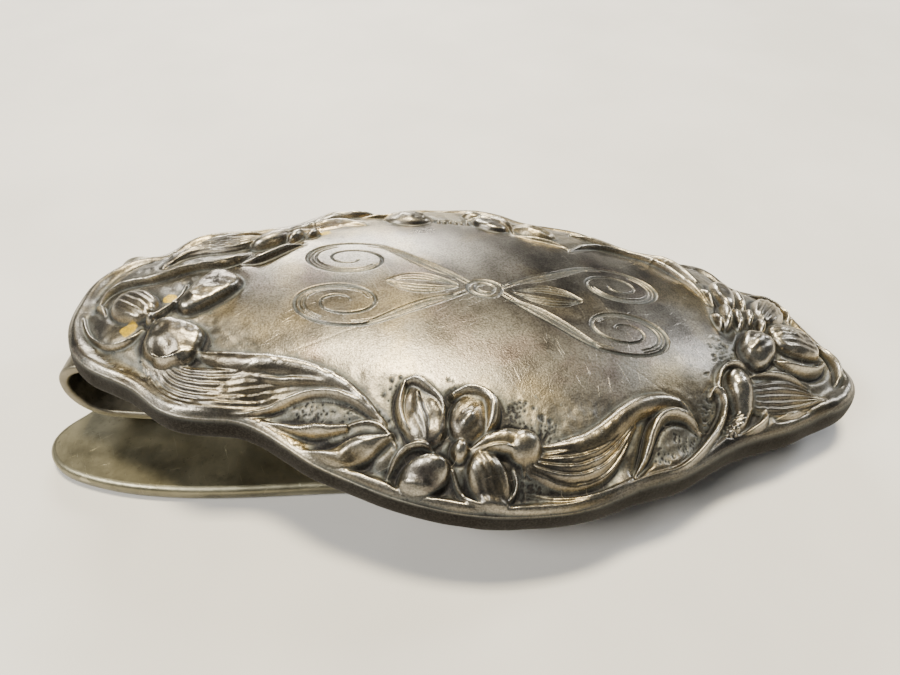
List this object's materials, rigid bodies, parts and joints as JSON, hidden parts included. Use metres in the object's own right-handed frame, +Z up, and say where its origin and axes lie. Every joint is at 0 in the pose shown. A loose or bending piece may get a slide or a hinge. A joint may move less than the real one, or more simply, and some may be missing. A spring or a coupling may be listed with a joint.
{
  "type": "belt buckle",
  "caption": "Oval domed belt buckle with a wavy beaded rim and raised flowers and leaves, a strap loop at one end and a hinged clamp tongue behind.",
  "frame": {"origin": "on the underside of the clamp tongue, directly below the middle of the rim; Z = 0 is the table the tongue lies on", "axes": "+X along the buckle from the strap loop to the hinge, +Y across it to the far side, +Z up through the domed front"},
  "size_m": [0.0729, 0.0374, 0.0146],
  "materials": {
    "struck_silver": "aged silver, darkened in the recesses",
    "plain_silver": "dull aged silver",
    "strip_metal": "tarnished white metal",
    "rivet_metal": "worn white metal",
    "spring_steel": "dark spring steel",
    "tongue_metal": "yellowish tarnished white metal"
  },
  "bodies": {
    "tongue": {"tongue_plate": "tongue_metal"},
    "shell": {"front_shell": "struck_silver", "back_plate": "plain_silver", "belt_loop": "strip_metal", "loop_rivets": "rivet_metal", "hinge_bracket": "strip_metal", "bracket_rivets": "rivet_metal", "friction_spring": "spring_steel", "spring_rivet": "rivet_metal", "hinge_pin": "rivet_metal"}
  },
  "joints": [
    {"name": "tongue_hinge", "type": "hinge", "parent": "tongue", "child": "shell", "pos_m": [0.0295, 0, 0.0014], "axis": [0, 1, 0], "range_deg": [-1.2, 95]}
  ]
}
